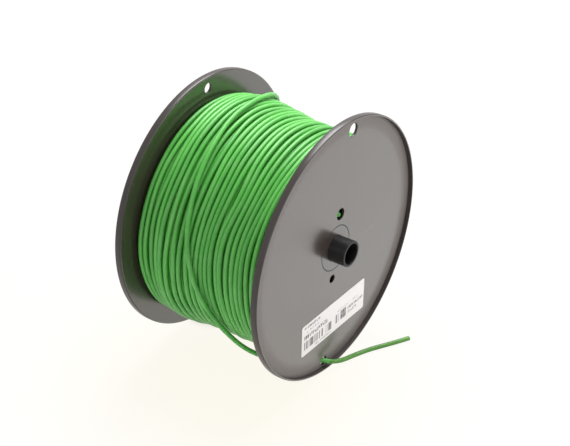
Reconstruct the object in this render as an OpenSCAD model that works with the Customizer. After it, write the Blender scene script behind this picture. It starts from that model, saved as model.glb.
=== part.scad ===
// Wire spool: two moulded flanges on a hollow barrel, an axle tube through the hub,
// and a winding of insulated wire whose free end leaves through a hole in the front flange.
// Millimetres. The axle runs along Y, the front (labelled) flange faces -Y and +Z is up.
// The origin is on the axle line, midway between the flanges.

/* [Flanges] */
// Diameter over the rim
flange_d = 160; // [152:1:200]
// Thickness of the flat web
web_t = 1.5; // [1.2:0.1:2.5]
// Depth of the rim, from the inner face to the edge of the lip
rim_depth = 4.4; // [3.6:0.1:7]
// Thickness of the lip that stands round the edge
lip_w = 1.2; // [1:0.1:3]
// Size of the rounding on the rim's outer corner and of the chamfer on its inner one
rim_round = 0.8; // [0.3:0.1:1.2]

/* [Flange holes] */
// Turn of the front flange's large wire hole, from +X towards +Z
front_turn = 77.5; // [70:0.5:85]
// Turn of the rear flange's wire hole, from +X towards +Z
rear_turn = 87.5; // [70:0.5:100]
// Diameter of the large wire hole in the front rim
large_hole_d = 8.2; // [4:0.1:10]
// Distance of the large wire hole's centre from the edge of the flange
large_hole_inset = 8.5; // [7:0.1:12]
// Diameter of the lead-out hole in the front rim
lead_hole_d = 6.2; // [4:0.1:8]
// Distance of the lead-out hole's centre from the edge of the flange
lead_hole_inset = 5.1; // [5:0.1:8]
// Diameter of the wire hole in the rear rim
rear_hole_d = 6.2; // [4:0.1:8]
// Distance of the rear wire hole's centre from the edge of the flange
rear_hole_inset = 7; // [6:0.1:12]
// Diameter of the hole for the start of the wire
start_hole_d = 7.3; // [4:0.1:8]
// Distance of the start hole from the axle line
start_hole_r = 21; // [20:0.1:22]
// Diameter of the drive pin hole
drive_hole_d = 5.1; // [3:0.1:7]
// Distance of the drive pin hole from the axle line
drive_hole_r = 20; // [19.5:0.1:22]
// Angle from the large wire hole to the lead-out and drive holes
opposite_angle = 184.3; // [170:0.1:190]

/* [Barrel] */
// Clear width between the flanges
inner_width = 90; // [85:1:130]
// Outer diameter of the barrel
barrel_d = 60; // [58:0.5:90]
// Wall of the barrel
barrel_wall = 2.5; // [2:0.1:3]
// Height of the ring on each flange that centres the barrel
spigot_h = 4; // [2:0.5:6]
// Thickness of the centring ring
spigot_t = 1.5; // [0.8:0.1:2]
// Diameter of the hole in the barrel's wall for the start of the wire
wall_hole_d = 4.4; // [3.2:0.1:8]
// Turn of that hole, from +X towards +Z
wall_hole_turn = 25; // [20:1:30]
// Distance of that hole from the front flange
wall_hole_inset = 7; // [6:0.5:9]

/* [Hub] */
// Diameter of the bush's disc, flush in the web
bush_disc_d = 27.7; // [25:0.1:30]
// Outer diameter of the bush's sleeve, whose shoulder bears on the web's inner side
bush_sleeve_d = 31; // [29:0.1:33]
// Length of the sleeve inwards from the flange's inner face
bush_sleeve_len = 14; // [8:0.5:30]
// Outer diameter of the axle tube
axle_d = 15.8; // [14:0.1:16.5]
// Bore of the axle tube, for a spindle
axle_bore_d = 12.8; // [10:0.1:13.5]
// How far the axle tube stands past each rim
axle_proud = 7.8; // [4:0.1:20]
// Small chamfer on the axle tube's ends
edge_chamfer = 0.25; // [0.1:0.05:0.4]

/* [Label] */
// Length of the label
label_w = 65; // [40:1:70]
// Height of the label
label_h = 21; // [12:0.5:24]
// Thickness of the label
label_t = 0.15; // [0.1:0.05:0.3]
// Radius of the label's corners
label_round = 1.5; // [0.5:0.1:4]
// Distance of the label's middle from the edge of the flange
label_inset = 31.5; // [30:0.5:36]
// Sideways place of the label's middle
label_shift = -0.7; // [-4:0.1:4]
// Slant of the label
label_slant = -1.8; // [-5:0.1:5]

/* [Wire] */
// Outer diameter of the insulated wire
wire_d = 2.8; // [2.2:0.1:2.8]
// Diameter of the bare conductor
conductor_d = 1.6; // [1.2:0.1:2]
// Length of bare conductor at the cut end
conductor_len = 0.4; // [0.2:0.1:4]
// Number of turns that show in the outer layer
outer_turns = 24; // [12:1:24]
// Diameter over the outer layer
winding_d = 135; // [120:1:136]
// How far the loose winding hangs below the axle line
winding_sag = 1; // [0:0.1:1.5]
// How much higher the layer lies where it bulges, towards the rear flange
bulge = 2.4; // [0:0.1:2.6]
// Distance of the bulge's middle from the rear flange
bulge_inset = 19; // [15:1:25]
// Half width of the bulge
bulge_spread = 13; // [10:1:16]
// How much lower the front half lies at its top
front_dip = 1.8; // [0:0.1:2]
// Sideways waver of each turn
turn_waver = 0.5; // [0:0.1:0.6]
// Slower waver from turn to turn
spacing_waver = 0.1; // [0:0.05:0.15]

/* [Clearances] */
// Radial running clearance between the axle tube and its bushes
running_gap = 0.05; // [0.02:0.01:0.09]
// Clearance where one fixed piece seats in another
seat_gap = 0.05; // [0.02:0.01:0.1]
// Clearance between the winding's sides and each flange
side_gap = 0.3; // [0.3:0.1:1]

/* [Hidden] */
$fn = 96;

plastic = [0.20, 0.19, 0.18];
tube_black = [0.10, 0.09, 0.09];
paper = [0.94, 0.92, 0.91];
green = [0.25, 0.62, 0.22];
copper = [0.72, 0.43, 0.28];

flange_r = flange_d / 2;
inner_face = inner_width / 2;
web_face = inner_face + web_t;
rim_face = inner_face + rim_depth;
axle_end = rim_face + axle_proud;
barrel_r = barrel_d / 2;
barrel_bore_r = barrel_r - barrel_wall;
disc_r = bush_disc_d / 2;
wire_r = wire_d / 2;
spigot_r = barrel_bore_r - seat_gap;
hub_seat_r = disc_r + seat_gap;

// The outer layer lies on the inner windings, which reach its lowest flats between rings.
turn_steps = 24;
turn_r = winding_d / 2 - wire_r;
core_r = (turn_r - front_dip) * cos(180 / turn_steps) - wire_r - seat_gap;
wire_sides = 6;
first_y = -inner_face + wire_r + side_gap;
turn_pitch = -2 * first_y / outer_turns;
// Where the front half's dip begins, how far it takes to reach its depth, and its angle.
dip_start = 4;
dip_reach = 10;
dip_turn = 55;

// The last turn crosses back over the layer: angle, lift above the layer, distance
// from the rear flange.
crossing = [
    [8, 0.6, 1.8], [20, 2.9, 3], [36, 3.2, 10], [53, 3.2, 18.5], [70, 3.2, 24.5], [85, 3.2, 27],
    [100, 3.2, 28], [115, 3.2, 30], [130, 3.2, 32], [145, 3.2, 34.3], [160, 3.2, 37],
    [175, 3.2, 41.2], [190, 3.2, 47], [205, 3.2, 53.5], [218, 4.2, 59]];
// From the layer it runs free to the lead-out hole, over the lip and along the ground.
free_run = [
    [-51, -18, -51.2], [-46.5, -22, -56.5], [-41.3, -26, -60.9], [-35.8, -30, -64.3],
    [-30.4, -33.6, -67], [-25.2, -36.8, -69.3], [-20.2, -39.6, -71.2], [-15.4, -41.9, -72.8],
    [-11.8, -44.2, -74], [-10, -47.2, -74.5], [-7.8, -50, -75.2], [-4.4, -52.6, -75.9],
    [0.5, -54.3, -76.9], [6, -55.4, -77.9], [12, -57.2, -78.5], [18, -60, -78.5],
    [24, -63.4, -78.5], [30, -67, -78.5], [36, -70.5, -78.5], [42, -73.8, -78.5]];
// The start of the wire comes through the barrel's wall to the start hole: x, distance from
// the front flange, z.
start_run = [
    [21.3, 6.8, 11], [17.8, 6.2, 11.7], [14.4, 5.2, 13.2], [11.2, 4, 15.2], [8.2, 2.8, 17.2],
    [5.9, 1.6, 18.7], [4.4, 0.1, 19.8]];

function unit(v) = v / norm(v);
function polar(r, a) = [r * cos(a), 0, r * sin(a)];
// The loose layer bulges towards the rear and lies lower at the top of its front half.
function eased(t) = let (c = max(0, min(1, t))) c * c * (3 - 2 * c);
function rise(a, y) =
    bulge * exp(-pow((inner_face - bulge_inset - y) / bulge_spread, 2))
    - front_dip * eased((dip_start - y) / dip_reach) * (1 + cos(a - dip_turn)) / 2;
function on_winding(a, lift, y) =
    let (r = turn_r + rise(a, y) + lift) [r * cos(a), y, r * sin(a) - winding_sag];

// Catmull-Rom point between b and c.
function between(a, b, c, d, t) =
    0.5 * (2 * b + (c - a) * t + (2 * a - 5 * b + 4 * c - d) * t * t
    + (3 * b - a - 3 * c + d) * t * t * t);
function smooth(p, parts) = [
    for (i = [0:len(p) - 2], k = [0:parts - 1])
        between(p[max(i - 1, 0)], p[i], p[i + 1], p[min(i + 2, len(p) - 1)], k / parts),
    p[len(p) - 1]];

function heading(p, i) = unit(p[min(i + 1, len(p) - 1)] - p[max(i - 1, 0)]);
function ring(p, i, r) =
    let (t = heading(p, i), u = unit(cross(t, [0, 1, 0])), v = cross(t, u))
    [for (k = [0:wire_sides - 1])
        p[i] + r * (cos(360 * k / wire_sides) * u + sin(360 * k / wire_sides) * v)];

// One tube swept along a list of points.
module swept(p, r) {
    last = (len(p) - 1) * wire_sides;
    points = [for (i = [0:len(p) - 1]) each ring(p, i, r)];
    near_cap = [for (k = [1:wire_sides - 2]) [0, k, k + 1]];
    far_cap = [for (k = [1:wire_sides - 2]) [last, last + k + 1, last + k]];
    walls = [for (i = [0:len(p) - 2], k = [0:wire_sides - 1])
        let (n = (k + 1) % wire_sides, a = i * wire_sides, b = a + wire_sides)
        each [[a + k, b + n, a + n], [a + k, b + k, b + n]]];
    polyhedron(points = points, faces = concat(near_cap, walls, far_cap));
}

// The layer's centre line: an even climb with a waver that dies away at both flanges.
function turn_point(t) =
    let (fade = sin(180 * t / outer_turns))
    on_winding(360 * t, 0, first_y + turn_pitch * t
        + fade * (turn_waver * sin(360 * t + 30 * sin(47 * t)) + spacing_waver * sin(83 * t)));
layer_line = [for (i = [0:outer_turns * turn_steps]) turn_point(i / turn_steps)];
layer_start = layer_line[0] - [0, 0, wire_d];
layer_end = layer_line[len(layer_line) - 1] + [0, 0, wire_d];
layer = concat([layer_start], layer_line, [layer_end]);

tail_crossing = [for (c = smooth(crossing, 3)) on_winding(c[0], c[1], inner_face - c[2])];
tail_line = concat([layer_end, layer_end + [0, 0, wire_d]], tail_crossing, free_run);
tail_end = tail_line[len(tail_line) - 1];
in_wall = [for (r = [barrel_r - seat_gap, barrel_bore_r])
    polar(r, wall_hole_turn) + [0, wall_hole_inset - inner_face, 0]];
start_line = concat(in_wall, [for (p = start_run) p - [0, inner_face, 0]]);

// Least gap of the layer to itself and of the tail to the layer, measured between points.
loop_gaps = [for (i = [0:len(layer_line) - 1], k = [-3:3])
    let (j = i + turn_steps + k) if (j < len(layer_line)) norm(layer_line[i] - layer_line[j])];
tail_gaps = [for (p = tail_crossing, q = layer_line) norm(p - q)];
lengths = [for (i = [1:len(tail_line) - 1]) norm(tail_line[i] - tail_line[i - 1])];
function total(v, i = 0) = i < len(v) ? v[i] + total(v, i + 1) : 0;
echo(least_gap_between_turns = min(loop_gaps) - wire_d, turn_pitch = turn_pitch);
echo(least_gap_under_tail = min(tail_gaps) - wire_d, tail_length = total(lengths));
echo(tail_rings = len(tail_line));

module along_y(from = 0) {
    translate([0, from, 0]) rotate([-90, 0, 0]) children();
}

module tube_y(r, bore, from, to) {
    along_y(from) difference() {
        cylinder(r = r, h = to - from);
        translate([0, 0, -r]) cylinder(r = bore, h = to - from + 2 * r);
    }
}

// A hole through the web, parallel to the axle. side is -1 for the front and 1 for the rear.
module web_hole(r, a, d, side) {
    translate(polar(r, a) + [0, side * inner_face, 0]) along_y(-2 * web_t)
        cylinder(d = d, h = 4 * web_t);
}

// A corner of the rim, turned from an angle onwards in even steps.
function rim_corner(y, from, step) = [for (a = [from:step:from + 90])
    [flange_r - rim_round + rim_round * cos(a), y + rim_round * sin(a)]];

// Half section of a flange, from its inner face at 0 outwards.
module flange_section() {
    polygon(concat(
        [[hub_seat_r, web_t], [hub_seat_r, 0], [spigot_r - spigot_t, 0],
            [spigot_r - spigot_t, -spigot_h], [spigot_r, -spigot_h], [spigot_r, 0]],
        rim_corner(rim_round, -90, 90), rim_corner(rim_depth - rim_round, 0, 45),
        [[flange_r - lip_w, rim_depth], [flange_r - lip_w, web_t]]));
}

module flange(side) {
    translate([0, side * inner_face, 0]) rotate([-90 * side, 0, 0])
        rotate_extrude($fn = 180) flange_section();
}

module front_flange() {
    color(plastic) difference() {
        flange(-1);
        web_hole(flange_r - large_hole_inset, front_turn, large_hole_d, -1);
        web_hole(flange_r - lead_hole_inset, front_turn + opposite_angle, lead_hole_d, -1);
        web_hole(start_hole_r, front_turn, start_hole_d, -1);
        web_hole(drive_hole_r, front_turn + opposite_angle, drive_hole_d, -1);
    }
}

module rear_flange() {
    color(plastic) difference() {
        flange(1);
        web_hole(flange_r - rear_hole_inset, rear_turn, rear_hole_d, 1);
        web_hole(drive_hole_r, front_turn + opposite_angle, drive_hole_d, 1);
    }
}

// The barrel butts against both flanges and has a hole for the start of the wire.
module barrel() {
    color(plastic) difference() {
        tube_y(barrel_r, barrel_bore_r, -inner_face, inner_face);
        translate([0, wall_hole_inset - inner_face, 0]) rotate([0, 90 - wall_hole_turn, 0])
            translate([0, 0, barrel_bore_r - barrel_wall])
                cylinder(d = wall_hole_d, h = 3 * barrel_wall);
    }
}

// A disc flush in the web, with a wider sleeve behind it that carries the axle tube.
module hub_bush(side) {
    bore = axle_d / 2 + running_gap;
    color(plastic) translate([0, side * inner_face, 0]) rotate([-90 * side, 0, 0])
        rotate_extrude($fn = 120) polygon([
            [bore, -bush_sleeve_len], [bush_sleeve_d / 2, -bush_sleeve_len],
            [bush_sleeve_d / 2, 0], [disc_r, 0], [disc_r, web_t], [bore, web_t]]);
}

module axle_tube() {
    bore = axle_bore_d / 2;
    r = axle_d / 2;
    color(tube_black) along_y() rotate_extrude($fn = 120) polygon([
        [bore, -axle_end], [r - edge_chamfer, -axle_end], [r, -axle_end + edge_chamfer],
        [r, axle_end - edge_chamfer], [r - edge_chamfer, axle_end], [bore, axle_end]]);
}

module rounded_plate(w, h, r, t) {
    linear_extrude(t) {
        square([w - 2 * r, h], center = true);
        square([w, h - 2 * r], center = true);
        for (x = [-1, 1], y = [-1, 1])
            translate([x * (w / 2 - r), y * (h / 2 - r)]) circle(r = r, $fn = 32);
    }
}

module label() {
    color(paper) translate([label_shift, -web_face, label_inset - flange_r])
        rotate([0, -label_slant, 0]) rotate([90, 0, 0])
            rounded_plate(label_w, label_h, label_round, label_t);
}

// The layers under the one that shows, as one plain body round the barrel.
module inner_windings() {
    y = inner_face - side_gap;
    color(green) difference() {
        translate([0, 0, -winding_sag]) along_y(-y) cylinder(r = core_r, h = 2 * y, $fn = 180);
        along_y(-2 * y) cylinder(r = barrel_r + seat_gap, h = 4 * y);
    }
}

module outer_winding() {
    color(green) swept(layer, wire_r);
}

module wire_tail() {
    color(green) swept(tail_line, wire_r);
}

// Bare strands at the cut end, in line with the wire.
module tail_conductor() {
    run = heading(tail_line, len(tail_line) - 1);
    color(copper) translate(tail_end) rotate([0, 90, atan2(run[1], run[0])])
        cylinder(d = conductor_d, h = conductor_len, $fn = 32);
}

module start_lead() {
    color(green) swept(start_line, wire_r);
}

front_flange();
rear_flange();
barrel();
hub_bush(-1);  // front_hub_bush
hub_bush(1);  // rear_hub_bush
axle_tube();
label();
inner_windings();
outer_winding();
wire_tail();
tail_conductor();
start_lead();
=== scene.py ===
# Wire spool: two black moulded flanges, an axle tube and a loose winding of green wire.
# Metres in Blender, millimetres in the dictionaries. The axle runs along Y.
import math
import random

import bmesh
import bpy
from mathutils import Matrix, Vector
from mathutils.geometry import interpolate_bezier


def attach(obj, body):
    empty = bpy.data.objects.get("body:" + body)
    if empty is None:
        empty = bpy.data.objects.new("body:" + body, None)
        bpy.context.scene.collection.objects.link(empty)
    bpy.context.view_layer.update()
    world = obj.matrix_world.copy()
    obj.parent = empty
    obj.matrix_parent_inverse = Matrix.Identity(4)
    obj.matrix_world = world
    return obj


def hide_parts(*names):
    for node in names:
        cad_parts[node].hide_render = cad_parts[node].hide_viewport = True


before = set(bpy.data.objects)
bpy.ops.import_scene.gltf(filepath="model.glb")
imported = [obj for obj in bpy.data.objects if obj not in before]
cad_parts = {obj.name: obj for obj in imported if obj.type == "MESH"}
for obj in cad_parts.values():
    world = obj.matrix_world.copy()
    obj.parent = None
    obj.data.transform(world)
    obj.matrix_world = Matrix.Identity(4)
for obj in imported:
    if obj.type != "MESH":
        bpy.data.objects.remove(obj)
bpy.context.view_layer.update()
print("frame loaded")

mm = 0.001
scene = bpy.context.scene

# sizes that pieces share
spool = {
    "flangeRadius": 80.0,
    "innerFace": 45.0,       # half the clear width between the flanges
    "webThickness": 1.5,
    "rimDepth": 4.4,
    "lipWidth": 1.2,
    "barrelBore": 27.5,
    "barrelWall": 2.5,
    "axleRadius": 7.9,
    "axleBore": 6.4,
    "axleEnd": 57.2,
    "discRadius": 13.85,
    "seatGap": 0.05,
    "floor": -80.0,
    "wireRadius": 1.4,
    "turnRadius": 66.1,      # centre line of the outer layer
    "sag": 1.0,              # the winding hangs this far below the axle line
    "bulge": 2.4,            # it stands higher towards the rear flange
    "bulgeY": 26.0,
    "bulgeSpread": 13.0,
    "frontDip": 1.8,         # and sinks in its front half
    "dipStart": 4.0,
    "dipReach": 10.0,
    "dipTurn": 55.0,         # the angle where it sinks most
}


def metres(x, y, z):
    return Vector((x, y, z)) * mm


def rise(angle, y):
    # how far the layer stands over its mean radius
    hump = spool["bulge"] * math.exp(-((spool["bulgeY"] - y) / spool["bulgeSpread"]) ** 2)
    part = min(max((spool["dipStart"] - y) / spool["dipReach"], 0.0), 1.0)
    side = (1 + math.cos(math.radians(angle - spool["dipTurn"]))) / 2
    return hump - spool["frontDip"] * part * part * (3 - 2 * part) * side


def onWinding(angle, lift, y):
    turn = math.radians(angle)
    reach = spool["turnRadius"] + rise(angle, y) + lift
    return metres(reach * math.cos(turn), y, reach * math.sin(turn) - spool["sag"])


# camera
cameraValues = {
    "place": (-0.5966, -0.4352, 0.4824),
    "tilt": 56.81,
    "turn": -54.603,
    "lens": 95.51,
}

cameraData = bpy.data.cameras.new("camera")
cameraData.sensor_width = 36.0
cameraData.lens = cameraValues["lens"]
cameraData.clip_start = 0.01
cameraData.clip_end = 20.0
camera = bpy.data.objects.new("camera", cameraData)
camera.location = cameraValues["place"]
camera.rotation_euler = (math.radians(cameraValues["tilt"]), 0, math.radians(cameraValues["turn"]))
scene.collection.objects.link(camera)
scene.camera = camera
print("camera placed")


# shader helpers
def plug(slot, value):
    if isinstance(value, Signal):
        slot.id_data.links.new(value.socket, slot)
    else:
        slot.default_value = value


class Signal:  # one socket, so that shader sums read as plain expressions
    def __init__(self, socket):
        self.socket = socket

    def math(self, operation, *others):
        node = self.socket.id_data.nodes.new("ShaderNodeMath")
        node.operation = operation
        for slot, value in zip(node.inputs, (self,) + others):
            plug(slot, value)
        return Signal(node.outputs[0])

    def __add__(self, other):
        return self.math("ADD", other)

    def __sub__(self, other):
        return self.math("SUBTRACT", other)

    def __mul__(self, other):
        return self.math("MULTIPLY", other)

    def __truediv__(self, other):
        return self.math("DIVIDE", other)

    def __gt__(self, other):
        return self.math("GREATER_THAN", other)

    def __lt__(self, other):
        return self.math("LESS_THAN", other)

    def __rsub__(self, other):
        return self * -1.0 + other

    __radd__ = __add__
    __rmul__ = __mul__


class Finish:  # one procedural material and the few nodes that it is made of
    def __init__(self, name, constants=None):
        self.material = bpy.data.materials.new(name)
        self.material.use_nodes = True
        self.tree = self.material.node_tree
        self.shader = self.tree.nodes["Principled BSDF"]
        for socket, value in (constants or {}).items():
            self.shader.inputs[socket].default_value = value
        self.place = self.add("TexCoord", output=3)

    def add(self, kind, settings=None, inputs=None, output=0):
        node = self.tree.nodes.new("ShaderNode" + kind)
        for setting, value in (settings or {}).items():
            if setting == "stops":
                ramp = node.color_ramp.elements
                for index, (position, shade) in enumerate(value):
                    stop = ramp[index] if index < 2 else ramp.new(position)
                    stop.position = position
                    stop.color = (shade, shade, shade, 1)
            else:
                setattr(node, setting, value)
        for socket, value in (inputs or {}).items():
            plug(node.inputs[socket], value)
        return Signal(node.outputs[output])

    def noise(self, scale, detail, vector=None, roughness=0.5):
        return self.add("TexNoise", {}, {
            "Vector": vector or self.place, "Scale": scale, "Detail": detail,
            "Roughness": roughness})

    def ramp(self, value, *stops):
        return self.add("ValToRGB", {"stops": stops}, {"Fac": value})

    def split(self, vector=None):
        node = self.add("SeparateXYZ", {}, {"Vector": vector or self.place}).socket.node
        return [Signal(socket) for socket in node.outputs]

    def join(self, x, y, z):
        return self.add("CombineXYZ", {}, {"X": x, "Y": y, "Z": z})

    def stretched(self, scale, turn=(0, 0, 0)):
        return self.add("Mapping", {}, {"Vector": self.place, "Scale": scale, "Rotation": turn})

    def mix(self, factor, first, second, blend="MIX"):
        colours = [c if isinstance(c, Signal) else (*c, 1.0) for c in (first, second)]
        return self.add("Mix", {"data_type": "RGBA", "blend_type": blend},
                        {0: factor, 6: colours[0], 7: colours[1]}, output=2)

    def smoothStep(self, value, start, end):
        return self.add("MapRange", {"interpolation_type": "SMOOTHSTEP"},
                        {"Value": value, "From Min": start, "From Max": end})

    def finishWith(self, colour, roughness, relief, depth, strength):
        plug(self.shader.inputs["Base Color"], colour)
        plug(self.shader.inputs["Roughness"], roughness)
        bump = self.add("Bump", {}, {"Height": relief, "Distance": depth, "Strength": strength})
        plug(self.shader.inputs["Normal"], bump)
        return self.material


def seenDirectly(rays):
    # what the camera sees, by itself or through a mirror image
    glossy = Signal(rays.outputs["Is Glossy Ray"])
    through = Signal(rays.outputs["Is Transmission Ray"])
    return Signal(rays.outputs["Is Camera Ray"]).math("MAXIMUM", glossy.math("MAXIMUM", through))


# finishes
flangeFinishValues = {
    "dark": (0.038, 0.026, 0.021),
    "pale": (0.066, 0.050, 0.041),
    "rim": (0.032, 0.024, 0.022),
    "roughness": 0.28,
    "coatRoughness": 0.22,
    "coatIor": 2.0,
    "dull": (68.5, 74.5),    # the polish of the outer face fades out towards the lip
    "lipFoot": 78.9,
    "faceY": 45.9,           # what lies further out is an outer face
    "innerPolish": 0.72,
    "groove": (13.60, 14.20),
    "paintedSheenTone": (0.195, 0.172, 0.162),
    "dustTone": (0.36, 0.34, 0.32),
    "scratchTone": (0.16, 0.15, 0.14),
    "grooveShade": (0.004, 0.004, 0.004),
    "grainDepth": 0.00005,
}


def mouldedPlastic():
    v = flangeFinishValues
    f = Finish("mouldedPlastic", {"IOR": 1.5, "Coat IOR": v["coatIor"],
                                  "Coat Roughness": v["coatRoughness"]})
    x, y, z = f.split()
    radius = (x * x + z * z).math("SQRT") / mm
    facing = f.split(f.add("TexCoord", output=1))[1].math("ABSOLUTE")
    flat = facing > 0.9      # only the broad faces are polished
    outer = y.math("ABSOLUTE") > v["faceY"] * mm
    dull = f.smoothStep(radius, *v["dull"]) * (radius < v["lipFoot"]) * outer
    groove = (radius > v["groove"][0]) * (radius < v["groove"][1])
    clouds = f.noise(16.0, 4.0)
    mottle = f.noise(48.0, 3.0, None, 0.6)
    grain = f.noise(2600.0, 2.0)
    scratches = f.ramp(f.noise(1.0, 0.0, f.stretched((14, 14, 700), (0, 0.5, 0))),
                       (0.80, 0.0), (0.84, 1.0))
    scuffs = f.ramp(f.noise(24.0, 4.0, None, 0.55), (0.45, 0.0), (0.80, 1.0))
    dust = f.add("TexVoronoi", {}, {"Vector": f.place, "Scale": 150.0}) < 0.03
    tone = clouds * 0.5 + mottle * 0.3 + scuffs * 0.2
    colour = f.mix(tone, v["dark"], v["pale"])
    # painted shade: every face that is not a broad flat face (rim sides, rounded edges, hole walls)
    # is coloured darker
    colour = f.mix(1.0 - flat, colour, v["rim"])
    # painted sheen: where the polish fades towards the lip, a paler tone stands in for the reflection
    # it loses
    colour = f.mix(dull * flat * 0.72, colour, v["paintedSheenTone"])
    colour = f.mix(dust * 0.4, colour, v["dustTone"])
    colour = f.mix(scratches * 0.12, colour, v["scratchTone"])
    # painted shade: the groove round the hub disc is coloured nearly black
    colour = f.mix(groove * 0.9, colour, v["grooveShade"])
    rough = clouds * 0.04 + mottle * 0.02 + scuffs * 0.02 + dull * 0.25 + v["roughness"]
    sidePolish = outer * (1.0 - v["innerPolish"]) + v["innerPolish"]
    wear = 1.0 - scuffs * 0.06 - mottle * 0.10
    polish = flat * sidePolish * (1.0 - dull * 0.85) * wear * (1.0 - groove)
    plug(f.shader.inputs["Coat Weight"], polish)
    return f.finishWith(colour, rough, grain * 0.15 + clouds * 1.5, v["grainDepth"], 0.16)


tubeFinishValues = {
    "dark": (0.004, 0.003, 0.003),
    "pale": (0.010, 0.009, 0.009),
    "ior": 1.38,
    "roughness": 0.26,
    "grainDepth": 0.00005,
}


def tubePlastic():
    v = tubeFinishValues
    f = Finish("tubePlastic", {"IOR": v["ior"]})
    x, y, z = f.split()
    alongLines = f.noise(1.0, 3.0, f.join(x * 1600.0, y * 20.0, z * 1600.0))
    clouds = f.noise(60.0, 3.0)
    sawn = f.noise(1.0, 2.0, f.join(x * 900.0, y * 900.0, z * 5200.0))
    colour = f.mix(clouds * 0.7 + alongLines * 0.3, v["dark"], v["pale"])
    rough = clouds * 0.12 + alongLines * 0.12 + v["roughness"]
    return f.finishWith(colour, rough, alongLines * 0.6 + sawn * 0.3, v["grainDepth"], 0.4)


wireFinishValues = {
    "deep": (0.050, 0.330, 0.040),
    "fresh": (0.125, 0.530, 0.085),
    "haze": (0.28, 0.58, 0.24),
    "ior": 1.5,
    "roughness": 0.32,
    "grainDepth": 0.00008,
    "darkerEndY": -50.0,       # the free end beyond the front flange is coloured darker
    "darkerEnd": (0.62, 0.51, 0.20),
}


def wireSkin():
    v = wireFinishValues
    f = Finish("wireSkin", {"IOR": v["ior"]})
    patches = f.noise(45.0, 3.0)
    fine = f.noise(700.0, 3.0)
    streaks = f.noise(1.0, 3.0, f.stretched((150, 900, 150)))
    strands = f.ramp(f.noise(1.0, 1.0, f.stretched((9, 330, 9))), (0.35, 0.0), (0.65, 1.0))
    haze = f.ramp(f.noise(110.0, 5.0, None, 0.65), (0.45, 0.0), (0.75, 1.0))
    colour = f.mix(patches * 0.3 + streaks * 0.25 + strands * 0.45, v["deep"], v["fresh"])
    colour = f.mix(haze * 0.22, colour, v["haze"])
    darkerEnd = f.split()[1] < v["darkerEndY"] * mm
    colour = f.mix(darkerEnd, colour, v["darkerEnd"], "MULTIPLY")
    rough = haze * 0.14 + fine * 0.10 + v["roughness"]
    relief = fine * 0.4 + streaks * 0.4 + patches * 0.5
    return f.finishWith(colour, rough, relief, v["grainDepth"], 0.3)


copperFinishValues = {
    "dark": (0.45, 0.20, 0.11),
    "pale": (0.80, 0.45, 0.30),
    "roughness": 0.28,
    "grainDepth": 0.00003,
}


def copperEnd():
    v = copperFinishValues
    f = Finish("copperEnd", {"Metallic": 1.0})
    tarnish = f.noise(1500.0, 3.0)
    lines = f.noise(1.0, 2.0, f.stretched((2500, 2500, 9000)))
    colour = f.mix(tarnish, v["dark"], v["pale"])
    return f.finishWith(colour, tarnish * 0.2 + v["roughness"], lines, v["grainDepth"], 0.4)


labelValues = {
    "centre": (-0.7, -48.5),
    "slant": 1.8,
    "width": 65.0,
    "height": 21.0,
    "paper": (0.82, 0.79, 0.78),
    "worn": (0.78, 0.75, 0.76),
    "ink": (0.045, 0.040, 0.050),
    "roughness": 0.42,
    "grainDepth": 0.00003,
    "markFill": 0.80,        # share of a mark's place that is inked
    "strokes": 3.0,          # parts of a mark, across and up
    "strokeShare": 0.62,
    "seeds": (3.0, 23.0, 51.0, 71.0),    # of marks, strokes, bars and block
    # rows of plain marks: from, to (along), from, to (up), mark width, share of marks, darkness
    "rows": [
        (2.5, 18.5, 17.8, 19.5, 1.15, 0.95, 0.85),
        (3.5, 19.0, 14.9, 16.4, 1.2, 0.55, 0.65),
        (2.5, 26.0, 10.9, 13.4, 1.9, 1.0, 0.95),
        (13.0, 30.0, 1.3, 2.7, 1.0, 0.90, 0.60),
        (34.5, 48.5, 11.7, 12.6, 0.9, 0.85, 0.55),
        (52.0, 60.5, 11.7, 12.9, 1.6, 0.50, 0.50),
        (47.4, 63.4, 7.9, 9.9, 1.3, 1.0, 0.85),
        (47.4, 57.0, 4.9, 6.7, 1.3, 0.95, 0.75),
    ],
    # fields of upright bars: from, to (along), from, to (up), bar width, share, darkness
    "bars": [
        (2.5, 12.0, 3.7, 9.3, 0.45, 0.62, 0.85),
        (12.0, 18.5, 3.7, 9.3, 0.60, 0.42, 0.75),
        (20.2, 21.6, 3.7, 9.3, 2.0, 1.0, 0.85),
        (22.5, 25.5, 3.7, 9.3, 0.5, 0.45, 0.70),
        (26.0, 30.8, 3.7, 9.3, 0.8, 0.70, 0.80),
        (34.8, 38.2, 4.4, 10.4, 0.6, 0.65, 0.75),
    ],
    "block": (40.0, 45.8, 4.4, 10.8),
    "blocksPerMm": 0.9,      # blots of the block, along and up
}


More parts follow.
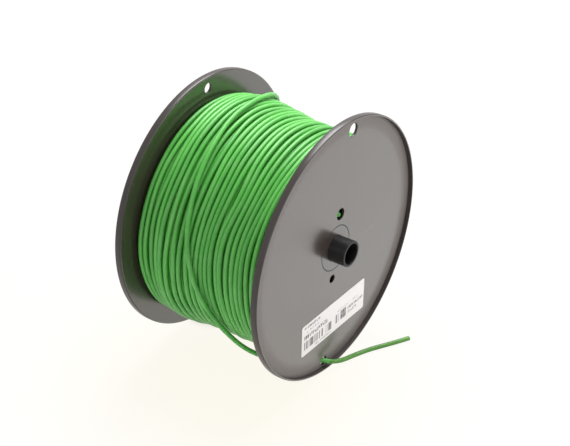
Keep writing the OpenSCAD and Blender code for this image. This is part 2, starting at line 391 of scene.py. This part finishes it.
def labelPaper():
    v = labelValues
    f = Finish("labelPaper", {"IOR": 1.5})
    x, y, z = f.split()
    slant = math.radians(v["slant"])
    acrossX = x / mm - v["centre"][0]
    acrossZ = z / mm - v["centre"][1]
    along = acrossX * math.cos(slant) - acrossZ * math.sin(slant) + v["width"] / 2
    up = acrossX * math.sin(slant) + acrossZ * math.cos(slant) + v["height"] / 2

    def within(value, low, high):
        return (value > low) * (value < high)

    def chance(first, second, seed):
        return f.add("TexWhiteNoise", {"noise_dimensions": "3D"},
                     {"Vector": f.join(first.math("FLOOR"), second, seed)})

    markSeed, strokeSeed, barSeed, blockSeed = v["seeds"]
    ink = 0.0
    for number, (left, right, low, high, size, share, depth) in enumerate(v["rows"]):
        place = along / size
        height = (up - low) / (high - low) * v["strokes"]
        mark = (chance(place, 0.0, number + markSeed) < share) * (place.math("FRACT") < v["markFill"])
        stroke = chance(place * v["strokes"], height.math("FLOOR"), number + strokeSeed)
        inked = mark * (stroke < v["strokeShare"])
        ink = within(along, left, right) * within(up, low, high) * inked * depth + ink
    for number, (left, right, low, high, size, share, depth) in enumerate(v["bars"]):
        bar = chance(along / size, 0.0, number + barSeed) < share
        ink = ink + within(along, left, right) * within(up, low, high) * bar * depth
    left, right, low, high = v["block"]
    count = v["blocksPerMm"]
    blot = chance(along * count, (up * count).math("FLOOR"), blockSeed) * 0.6 + 0.45
    ink = ink + within(along, left, right) * within(up, low, high) * blot

    fibres = f.noise(900.0, 4.0)
    paper = f.mix(f.noise(60.0, 2.0) * 0.5, v["paper"], v["worn"])
    colour = f.mix(ink * (fibres * 0.4 + 0.75), paper, v["ink"])
    return f.finishWith(colour, fibres * 0.15 + v["roughness"], fibres, v["grainDepth"], 0.3)


floorFinishValues = {
    "ground": (0.88, 0.87, 0.85, 1),
    "white": (1.0, 0.995, 0.98),
    "warmShade": (1.0, 0.970, 0.88),
    "warmShadeCentre": (-0.05, -0.01),
    "warmShadeReach": (0.01, 0.16),
    "share": 0.955,          # the rest of what is seen is the ground's own shade
    "footShare": 0.80,       # which is stronger where the rims touch down
    "footWidth": (0.002, 0.024),
    "footDepth": ((0.28, 0.0), (0.43, 1.0), (0.452, 1.0), (0.470, 0.0)),
}


def paleFloor():
    v = floorFinishValues
    f = Finish("paleFloor", {"Base Color": v["ground"], "Roughness": 0.9})
    x, y = f.split()[:2]
    offX = x - v["warmShadeCentre"][0]
    offY = y - v["warmShadeCentre"][1]
    away = (offX * offX + offY * offY).math("SQRT")
    # painted warm shade: the glowing floor turns cream round the spool
    shadeTint = f.mix(1.0 - f.smoothStep(away, *v["warmShadeReach"]), v["white"], v["warmShade"])
    white = f.add("Emission", {}, {"Color": shadeTint, "Strength": 1.0})
    foot = 1.0 - f.smoothStep(x.math("ABSOLUTE"), *v["footWidth"])
    rims = f.ramp(y.math("ABSOLUTE") * 10.0, *v["footDepth"])
    share = seenDirectly(f.add("LightPath").socket.node) * (v["share"] - foot * rims * v["footShare"])
    both = f.add("MixShader", {}, {0: share, 1: Signal(f.shader.outputs[0]), 2: white})
    plug(f.tree.nodes["Material Output"].inputs["Surface"], both)
    return f.material


finishes = {
    "flange": mouldedPlastic(),
    "tube": tubePlastic(),
    "wire": wireSkin(),
    "copper": copperEnd(),
    "label": labelPaper(),
    "floor": paleFloor(),
}
print("finishes made")


# mesh helpers
def dress(piece, body, material, node):
    piece.data.materials.clear()
    piece.data.materials.append(finishes[material])
    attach(piece, body)
    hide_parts(node)
    return piece


def pieceFromBmesh(name, bm, flats=(), crease=40.0):
    bmesh.ops.recalc_face_normals(bm, faces=bm.faces)
    flatSet = set(flats)
    for edge in bm.edges:
        sides = [face in flatSet for face in edge.link_faces]
        bend = edge.calc_face_angle(0.0) if len(edge.link_faces) == 2 else 0.0
        edge.smooth = not (len(set(sides)) > 1 or bend > math.radians(crease))
    for face in bm.faces:
        face.smooth = True
    mesh = bpy.data.meshes.new(name)
    bm.to_mesh(mesh)
    bm.free()
    piece = bpy.data.objects.new(name, mesh)
    scene.collection.objects.link(piece)
    return piece


def ringAt(bm, radius, y, sides, centre=(0.0, 0.0)):
    # a ring of points round a line along the axle
    made = []
    for k in range(sides):
        angle = 2 * math.pi * k / sides
        made.append(bm.verts.new(metres(centre[0] + radius * math.cos(angle), y,
                                        centre[1] + radius * math.sin(angle))))
    return made


def joinRings(bm, low, high):
    for k in range(len(low)):
        after = (k + 1) % len(low)
        bm.faces.new((low[k], low[after], high[after], high[k]))


def sweepTube(bm, path, radius, sides):
    # one closed tube along a list of points, with frames that don't twist
    headings = []
    for index in range(len(path)):
        after = path[min(index + 1, len(path) - 1)]
        before = path[max(index - 1, 0)]
        headings.append((after - before).normalized())
    across = headings[0].orthogonal().normalized()
    rings = []
    for point, heading in zip(path, headings):
        across = (across - heading * across.dot(heading)).normalized()
        other = heading.cross(across)
        ring = []
        for side in range(sides):
            angle = 2 * math.pi * side / sides
            spoke = across * math.cos(angle) + other * math.sin(angle)
            ring.append(bm.verts.new(point + spoke * radius))
        rings.append(ring)
    for low, high in zip(rings, rings[1:]):
        joinRings(bm, low, high)
    bm.faces.new(rings[0][::-1])
    bm.faces.new(rings[-1])


# the wire's free end
tailValues = {
    "length": 397.5,
    # the last turn crosses back over the layer: angle, lift, distance from the rear flange
    "crossing": [
        (8, 0.6, 1.8), (20, 2.9, 3), (36, 3.2, 10), (53, 3.2, 18.5), (70, 3.2, 24.5),
        (85, 3.2, 27), (100, 3.2, 28), (115, 3.2, 30), (130, 3.2, 32), (145, 3.2, 34.3),
        (160, 3.2, 37), (175, 3.2, 41.2), (190, 3.2, 47), (205, 3.2, 53.5), (218, 4.2, 59)],
    # then free to the lead-out hole, over the lip and along the ground
    "freeRun": [
        (-51, -18, -51.2), (-46.5, -22, -56.5), (-41.3, -26, -60.9), (-35.8, -30, -64.3),
        (-30.4, -33.6, -67), (-25.2, -36.8, -69.3), (-20.2, -39.6, -71.2), (-15.4, -41.9, -72.8),
        (-11.8, -44.2, -74), (-10, -47.2, -74.5), (-7.8, -50, -75.2), (-4.4, -52.6, -75.9),
        (0.5, -54.3, -76.9), (6, -55.4, -77.9), (12, -57.2, -78.5), (18, -60, -78.5),
        (24, -63.4, -78.5), (30, -67, -78.5), (36, -70.5, -78.5), (42, -73.8, -78.5)],
    "strands": 7,
    "strandRadius": 0.27,
    "strandCircle": 0.53,
    "strandLength": 0.4,
    "strandRoot": 0.3,       # how deep the strands start inside the insulation
}
layerEnd = onWinding(0, 0, 43.3) + metres(0, 0, 2 * spool["wireRadius"])


def wireTail():
    v = tailValues
    route = [layerEnd, layerEnd + metres(0, 0, 2 * spool["wireRadius"])]
    for angle, lift, fromRear in v["crossing"]:
        route.append(onWinding(angle, lift, spool["innerFace"] - fromRear))
    route += [metres(*point) for point in v["freeRun"]]
    curve = bpy.data.curves.new("wireTail", "CURVE")
    curve.dimensions = "3D"
    curve.bevel_depth = spool["wireRadius"] * mm
    curve.bevel_resolution = 5
    curve.resolution_u = 8
    curve.use_fill_caps = True
    line = curve.splines.new("BEZIER")
    line.bezier_points.add(len(route) - 1)
    for knot, point in zip(line.bezier_points, route):
        knot.co = point
        knot.handle_left_type = "AUTO"
        knot.handle_right_type = "AUTO"
    tail = bpy.data.objects.new("wireTail", curve)
    scene.collection.objects.link(tail)
    return dress(tail, "spool", "wire", "wire_tail"), route


def strandEnd(route):
    # a small bundle of bare strands in the cut end
    v = tailValues
    heading = (route[-1] - route[-2]).normalized()
    across = heading.cross(Vector((0, 0, 1))).normalized()
    other = heading.cross(across)
    bm = bmesh.new()
    for strand in range(v["strands"]):
        angle = 2 * math.pi * strand / (v["strands"] - 1)
        reach = 0.0 if strand == v["strands"] - 1 else v["strandCircle"] * mm
        centre = route[-1] + (across * math.cos(angle) + other * math.sin(angle)) * reach
        steps = [-v["strandRoot"], 0.6 * v["strandLength"], v["strandLength"]]
        path = [centre + heading * step * mm for step in steps]
        sweepTube(bm, path, v["strandRadius"] * mm, 10)
    return dress(pieceFromBmesh("strandEnd", bm), "spool", "copper", "tail_conductor")


tail, tailRoute = wireTail()
strands = strandEnd(tailRoute)
print("wire's free end made")


# the winding
windingValues = {
    "turns": 24,
    "stepsPerTurn": 96,
    "riseSteps": 9,
    "riseDepth": 2.9,
    "sides": 12,
    "firstY": -43.3,
    "pitch": 3.608,
    "evenAngles": (10, 290),
    # where the turns lie at four angles, front to rear
    "places": {
        100: [-42.5, -39.5, -36.5, -33.5, -30.5, -26.5, -22, -18, -14, -10.5, -6.5, -2.5,
              0.5, 3.5, 6.5, 10.5, 14.5, 18.5, 23, 27, 30, 33, 36.5, 40.5],
        135: [-42, -39, -35, -32, -29, -26, -23, -20, -16.5, -13, -9, -5,
              -1.5, 1.5, 5, 8.5, 12, 16.5, 21, 25, 28.5, 32, 37, 41],
        165: [-42, -38.5, -34.5, -31, -27.5, -24.5, -21, -17, -13, -9.5, -6, -3,
              0, 3, 6, 9.5, 13.5, 17, 21.5, 25.5, 28.5, 33, 37.5, 41.5],
        200: [-42, -39, -36, -33, -29, -25.5, -22.5, -19, -16, -12.5, -8.5, -5,
              -1.5, 2, 6, 10, 15, 19, 23.5, 27, 30.5, 33.5, 37, 41],
    },
    "stray": 0.65,
    "strayParts": 16,
    "strayRounds": 12,
    "leastGap": 0.03,
    "lift": (-0.6, 0.3),
    "liftsPerTurn": 4,
    "underTurns": 29,
    "underDrop": 2.85,
    "underSides": 8,
    "underSteps": 72,
    "underGap": 0.35,
    "coreDrop": 4.9,
    "coreGap": 0.3,
    "coreSides": 120,
    "seed": 7,
}


def eased(keys, turn):
    # Catmull-Rom through (turn, value) keys
    index = 1
    while index < len(keys) - 2 and keys[index][0] < turn:
        index += 1
    (_, a), (start, b), (end, c), (_, d) = [
        keys[min(max(index + k, 0), len(keys) - 1)] for k in (-2, -1, 0, 1)]
    t = min(max((turn - start) / (end - start), 0.0), 1.0)
    return 0.5 * (2 * b + (c - a) * t + (2 * a - 5 * b + 4 * c - d) * t * t
                  + (3 * b - a - 3 * c + d) * t * t * t)


def strayed(keys, rng):
    # the same run with finer keys: each turn strays a little, and none runs into the next
    v = windingValues
    least = 2 * spool["wireRadius"] + v["leastGap"]
    edge = -v["firstY"]
    finer = [(0.0, v["firstY"])]
    for part in range(v["strayParts"]):
        share = part / v["strayParts"]
        turns = range(1 if part == 0 else 0, v["turns"])
        places = [eased(keys, turn + share) + rng.uniform(-v["stray"], v["stray"])
                  for turn in turns]
        for _ in range(v["strayRounds"]):
            for k in range(len(places) - 1):
                short = least - (places[k + 1] - places[k])
                if short > 0:
                    places[k] -= short / 2
                    places[k + 1] += short / 2
            places = [min(max(place, -edge), edge) for place in places]
        finer += [(turn + share, place) for turn, place in zip(turns, places)]
    finer.append((float(v["turns"]), v["firstY"] + v["pitch"] * v["turns"]))
    return sorted(finer)


def outerLayer():
    v = windingValues
    rng = random.Random(v["seed"])
    keys = [(0.0, v["firstY"])]
    for turn in range(v["turns"]):
        even = {angle: v["firstY"] + v["pitch"] * (turn + angle / 360)
                for angle in v["evenAngles"]}
        for angle in sorted([*v["places"], *even]):
            place = even[angle] if angle in even else v["places"][angle][turn]
            keys.append((turn + angle / 360, place))
    keys.append((float(v["turns"]), v["firstY"] + v["pitch"] * v["turns"]))
    keys = strayed(keys, rng)
    lifts = [(0.0, 0.0)]
    for index in range(1, v["turns"] * v["liftsPerTurn"]):
        lifts.append((index / v["liftsPerTurn"], rng.uniform(*v["lift"])))
    lifts.append((float(v["turns"]), 0.0))
    path = []
    total = v["turns"] * v["stepsPerTurn"]
    for step in range(-v["riseSteps"], 0):    # the first turn comes up out of the layer below
        drop = v["riseDepth"] * (step / v["riseSteps"]) ** 2
        path.append(onWinding(360 * step / v["stepsPerTurn"], -drop, v["firstY"]))
    for step in range(total + 1):
        turn = step / v["stepsPerTurn"]
        path.append(onWinding(360 * turn, eased(lifts, turn), eased(keys, turn)))
    path += [path[-1].lerp(layerEnd, 0.5), layerEnd]    # the last one runs on into the free end
    bm = bmesh.new()
    sweepTube(bm, path, spool["wireRadius"] * mm, v["sides"])
    dress(pieceFromBmesh("outerWinding", bm, crease=60.0), "spool", "wire",
          "outer_winding")


def underLayer():
    # the layer below runs back the other way, on a plain body of the layers under it
    v = windingValues
    reach = 2 * (spool["innerFace"] - spool["wireRadius"] - v["underGap"])
    path = []
    total = v["underTurns"] * v["underSteps"]
    for step in range(total + 1):
        y = reach / 2 - reach * step / total
        path.append(onWinding(360 * step / v["underSteps"], -v["underDrop"], y))
    bm = bmesh.new()
    sweepTube(bm, path, spool["wireRadius"] * mm, v["underSides"])
    inner = spool["barrelBore"] + spool["barrelWall"] + spool["seatGap"]
    outer = spool["turnRadius"] - v["coreDrop"]
    edge = spool["innerFace"] - v["coreGap"]
    rings = []
    for radius, y, drop in ((inner, edge, 0.0), (outer, edge, spool["sag"]),
                            (outer, -edge, spool["sag"]), (inner, -edge, 0.0)):
        rings.append(ringAt(bm, radius, y, v["coreSides"], (0.0, -drop)))
    for low, high in zip(rings, rings[1:] + rings[:1]):
        joinRings(bm, low, high)
    dress(pieceFromBmesh("underWinding", bm, crease=60.0), "spool", "wire",
          "inner_windings")


outerLayer()
underLayer()
print("winding made")


# start of the wire
startValues = {
    "wallTurn": 25,
    "wallY": -38,
    "run": [(21.3, -38.2, 11), (17.8, -38.8, 11.7), (14.4, -39.8, 13.2), (11.2, -41, 15.2),
            (8.2, -42.2, 17.2), (5.9, -43.4, 18.7), (4.4, -44.9, 19.8)],
    "steps": 6,
    "sides": 16,
}


def startLead():
    v = startValues
    wall = math.radians(v["wallTurn"])
    bore = spool["barrelBore"]
    knots = [metres(reach * math.cos(wall), v["wallY"], reach * math.sin(wall))
             for reach in (bore + spool["barrelWall"] - spool["seatGap"], bore)]
    knots += [metres(*point) for point in v["run"]]
    path = []
    for index in range(len(knots) - 1):
        before = knots[max(index - 1, 0)]
        after = knots[min(index + 2, len(knots) - 1)]
        start, end = knots[index], knots[index + 1]
        leave = start + (end - before) / 6
        arrive = end - (after - start) / 6
        path += interpolate_bezier(start, leave, arrive, end, v["steps"])[:-1]
    path.append(knots[-1])
    bm = bmesh.new()
    sweepTube(bm, path, spool["wireRadius"] * mm, v["sides"])
    dress(pieceFromBmesh("startLead", bm, crease=60.0), "spool", "wire",
          "start_lead")


startLead()
print("start of the wire made")


# flanges
flangeValues = {
    "segments": 240,
    "holeSides": 48,
    "edge": 0.8,
    "lipEdge": 0.3,
    "holeEdge": 0.12,
    "groove": 0.2,
    "ringWall": 1.5,         # the ring that centres the barrel
    "ringHeight": 4.0,
    "ringEdge": 0.3,
    # distance from the axle line, turn from +X towards +Z, radius
    "frontHoles": [(71.5, 77.5, 4.1), (74.9, 261.8, 3.1), (21.0, 77.5, 3.65), (20.0, 261.8, 2.55)],
    "rearHoles": [(73.0, 87.5, 3.1), (20.0, 261.8, 2.55)],
}


def softened(corners, steps=4):
    # a closed outline of (radius, height, rounding) corners as a list of points
    points = []
    for index, (radius, height, rounding) in enumerate(corners):
        here = Vector((radius, height))
        if not rounding:
            points.append(here)
            continue
        before = (Vector(corners[index - 1][:2]) - here).normalized()
        after = (Vector(corners[(index + 1) % len(corners)][:2]) - here).normalized()
        half = before.angle(after) / 2
        centre = here + (before + after).normalized() * rounding / math.sin(half)
        start = here + before * rounding / math.tan(half) - centre
        end = here + after * rounding / math.tan(half) - centre
        for step in range(steps + 1):
            spoke = start.normalized().slerp(end.normalized(), step / steps)
            points.append(centre + spoke * rounding)
    return points


def turnedFlange(name, side, corners, holes, node):
    # a turned outline whose flat faces are filled round their holes
    v = flangeValues
    web = spool["webThickness"]
    beyond = 5.0
    outline = softened(corners)
    bm = bmesh.new()

    def ring(radius, height, sides, centre=(0.0, 0.0)):
        return ringAt(bm, radius, side * (spool["innerFace"] + height), sides, centre)

    def loopEdges(loop):
        edges = []
        for k in range(len(loop)):
            pair = (loop[k], loop[(k + 1) % len(loop)])
            edges.append(bm.edges.get(pair) or bm.edges.new(pair))
        return edges

    rings = [ring(point.x, point.y, v["segments"]) for point in outline]
    wide = []
    for index, low in enumerate(rings):
        after = (index + 1) % len(rings)
        a, b = outline[index], outline[after]
        if abs(a.y - b.y) < 1e-6 and abs(a.x - b.x) > beyond:
            wide.append((min(a.x, b.x), max(a.x, b.x), a.y, low, rings[after]))
        else:
            joinRings(bm, low, rings[after])
    holeLoops = []
    for reach, turn, radius in holes:
        angle = math.radians(turn)
        centre = (reach * math.cos(angle), reach * math.sin(angle))
        soft = v["holeEdge"]
        wall = softened([(radius + beyond, 0, 0), (radius, 0, soft), (radius, web, soft),
                         (radius + beyond, web, 0)], 3)[1:-1]
        loops = [ring(point.x, point.y, v["holeSides"], centre) for point in wall]
        for low, high in zip(loops, loops[1:]):
            joinRings(bm, low, high)
        holeLoops.append((reach, loops[0], loops[-1]))
    flats = []
    for inner, outer, height, low, high in wide:
        onOutside = height > web / 2
        edges = loopEdges(low) + loopEdges(high)
        for reach, bottom, top in holeLoops:
            if inner < reach < outer:
                edges += loopEdges(top if onOutside else bottom)
        made = bmesh.ops.triangle_fill(bm, edges=edges, use_beauty=True, use_dissolve=False,
                                       normal=(0, side if onOutside else -side, 0))
        flats += [item for item in made["geom"] if isinstance(item, bmesh.types.BMFace)]
    dress(pieceFromBmesh(name, bm, flats, 30.0), "spool", "flange", node)


def flangeCorners():
    v = flangeValues
    seat = spool["discRadius"] + spool["seatGap"]
    ringOut = spool["barrelBore"] - spool["seatGap"]
    ringIn = ringOut - v["ringWall"]
    depth = -v["ringHeight"]
    outer = spool["flangeRadius"]
    lip = outer - spool["lipWidth"]
    return [
        (seat, spool["webThickness"], v["groove"]), (seat, 0, 0), (ringIn, 0, 0),
        (ringIn, depth, v["ringEdge"]), (ringOut, depth, v["ringEdge"]), (ringOut, 0, 0),
        (outer, 0, v["edge"]), (outer, spool["rimDepth"], v["edge"]),
        (lip, spool["rimDepth"], v["lipEdge"]), (lip, spool["webThickness"], 0)]


turnedFlange("frontFlange", -1, flangeCorners(), flangeValues["frontHoles"], "front_flange")
turnedFlange("rearFlange", 1, flangeCorners(), flangeValues["rearHoles"], "rear_flange")
print("flanges made")


# hub bushes and axle tube
hubValues = {
    "sleeveRadius": 15.5,
    "sleeveLength": 14.0,
    "bore": 7.95,
    "edge": 0.2,
    "boreEdge": 0.3,
    "sleeveEdge": 0.5,
    "tubeEdge": 0.35,
    "tubeBoreEdge": 0.21,
    "tubeSides": 96,
}


def hubBush(name, side, node):
    v = hubValues
    web = spool["webThickness"]
    sleeveEnd = -v["sleeveLength"]
    turnedFlange(name, side, [
        (v["bore"], sleeveEnd, v["boreEdge"]), (v["sleeveRadius"], sleeveEnd, v["sleeveEdge"]),
        (v["sleeveRadius"], 0, 0), (spool["discRadius"], 0, 0),
        (spool["discRadius"], web, v["edge"]), (v["bore"], web, v["edge"])], [], node)


def axleTube():
    v = hubValues
    bore, radius, end = spool["axleBore"], spool["axleRadius"], spool["axleEnd"]
    outline = softened([
        (bore, -end, v["tubeBoreEdge"]), (radius, -end, v["tubeEdge"]),
        (radius, end, v["tubeEdge"]), (bore, end, v["tubeBoreEdge"])])
    bm = bmesh.new()
    rings = [ringAt(bm, point.x, point.y, v["tubeSides"]) for point in outline]
    for low, high in zip(rings, rings[1:] + rings[:1]):
        joinRings(bm, low, high)
    dress(pieceFromBmesh("axleTube", bm, crease=30.0), "axle", "tube", "axle_tube")


hubBush("frontBush", -1, "front_hub_bush")
hubBush("rearBush", 1, "rear_hub_bush")
axleTube()
print("hub made")


# nodes that keep their shape
for node, finish in (("barrel", "flange"), ("label", "label")):
    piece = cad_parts[node]
    piece.data.materials.clear()
    piece.data.materials.append(finishes[finish])
print("barrel and label finished")


# floor, world and lamps
stageValues = {
    "floorSize": 12.0,
    "fill": 0.36,
    "lamps": [
        # name, place, watts, width, height
        ("softTop", (0.80, 0.15, 1.35), 46.0, 1.1, 1.1),
        ("softLeft", (-1.50, -0.20, 0.80), 2.5, 0.9, 0.8),
        ("softFront", (0.30, -1.50, 0.50), 7.0, 1.0, 0.8),
    ],
}


def paleStage():
    v = stageValues
    half = v["floorSize"] / 2
    height = spool["floor"] * mm
    bm = bmesh.new()
    bm.faces.new([bm.verts.new((x, y, height)) for x, y in
                  ((-half, -half), (half, -half), (half, half), (-half, half))])
    mesh = bpy.data.meshes.new("floor")
    bm.to_mesh(mesh)
    bm.free()
    floor = bpy.data.objects.new("floor", mesh)
    floor.data.materials.append(finishes["floor"])
    scene.collection.objects.link(floor)

    world = bpy.data.worlds.new("paleWorld")
    scene.world = world
    world.use_nodes = True
    nodes = world.node_tree.nodes
    nodes.clear()
    rays, fill, white, both, out = [nodes.new("ShaderNode" + kind) for kind in (
        "LightPath", "Background", "Background", "MixShader", "OutputWorld")]
    for background, strength in ((fill, v["fill"]), (white, 1.0)):
        background.inputs["Color"].default_value = (1, 1, 1, 1)
        background.inputs["Strength"].default_value = strength
    plug(both.inputs[0], seenDirectly(rays))
    plug(both.inputs[1], Signal(fill.outputs[0]))
    plug(both.inputs[2], Signal(white.outputs[0]))
    plug(out.inputs["Surface"], Signal(both.outputs[0]))

    for name, place, watts, width, height in v["lamps"]:
        lampData = bpy.data.lights.new(name, "AREA")
        lampData.shape = "RECTANGLE"
        lampData.energy = watts
        lampData.size = width
        lampData.size_y = height
        lamp = bpy.data.objects.new(name, lampData)
        lamp.location = place
        lamp.rotation_euler = (-lamp.location).to_track_quat("-Z", "Y").to_euler()
        lamp.visible_camera = False
        scene.collection.objects.link(lamp)


paleStage()
scene.view_settings.view_transform = "Standard"
print("stage lit")
